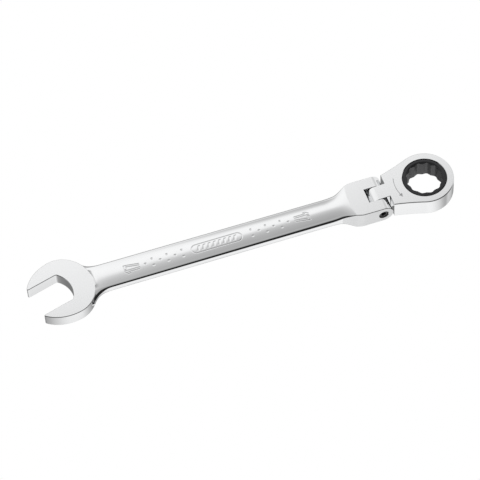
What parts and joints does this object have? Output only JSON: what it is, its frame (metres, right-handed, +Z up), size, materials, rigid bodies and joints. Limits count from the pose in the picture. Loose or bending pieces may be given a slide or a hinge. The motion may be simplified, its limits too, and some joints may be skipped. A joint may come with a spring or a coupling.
{
  "type": "flex-head ratcheting combination wrench",
  "caption": "Chrome combination wrench with an open-end jaw at one end and, in a forked hinge at the other, a tilting ratchet head with a 12-point drive gear.",
  "frame": {"origin": "under the middle of the wrench: the centre of its box in plan, at the level of its lowest face", "axes": "+X along the handle from the open-end jaw to the ratchet head, +Y to the screw's threaded side, +Z up from the face it lies on"},
  "size_m": [0.2308, 0.0344, 0.0135],
  "materials": {
    "chrome_forging": "chrome plated, mirror polished on the handle and satin ground on the flat faces",
    "black_gear_steel": "black phosphate on hardened steel, satin",
    "black_screw_steel": "black oxide, satin",
    "hard_steel": "hardened bright steel, oiled",
    "spring_steel": "blued spring wire"
  },
  "bodies": {
    "handle": {"handle_forging": "chrome_forging", "pivot_screw": "black_screw_steel", "friction_ball": "hard_steel", "ball_spring": "spring_steel"},
    "head": {"ratchet_head": "chrome_forging", "gear_retaining_ring": "spring_steel", "pawl_spring": "spring_steel"},
    "gear": {"drive_gear": "black_gear_steel"},
    "pawl": {"pawl": "hard_steel"}
  },
  "joints": [
    {"name": "head_flex", "type": "hinge", "parent": "handle", "child": "head", "pos_m": [0.07287, 0.00093, 0.0053], "axis": [0, -1, 0], "range_deg": [-94, 86]},
    {"name": "gear_spin", "type": "hinge", "parent": "head", "child": "gear", "pos_m": [0.0997, 0.00093, 0.00718], "axis": [-0.0698, 0, 0.9976], "continuous": true},
    {"name": "pawl_slide", "type": "slide", "parent": "head", "child": "pawl", "axis": [-0.9976, 0, -0.0698], "range_m": [0, 0.00075], "stiffness_N_per_m": 800, "springref_m": -0.002, "deforming": ["pawl_spring"]}
  ]
}
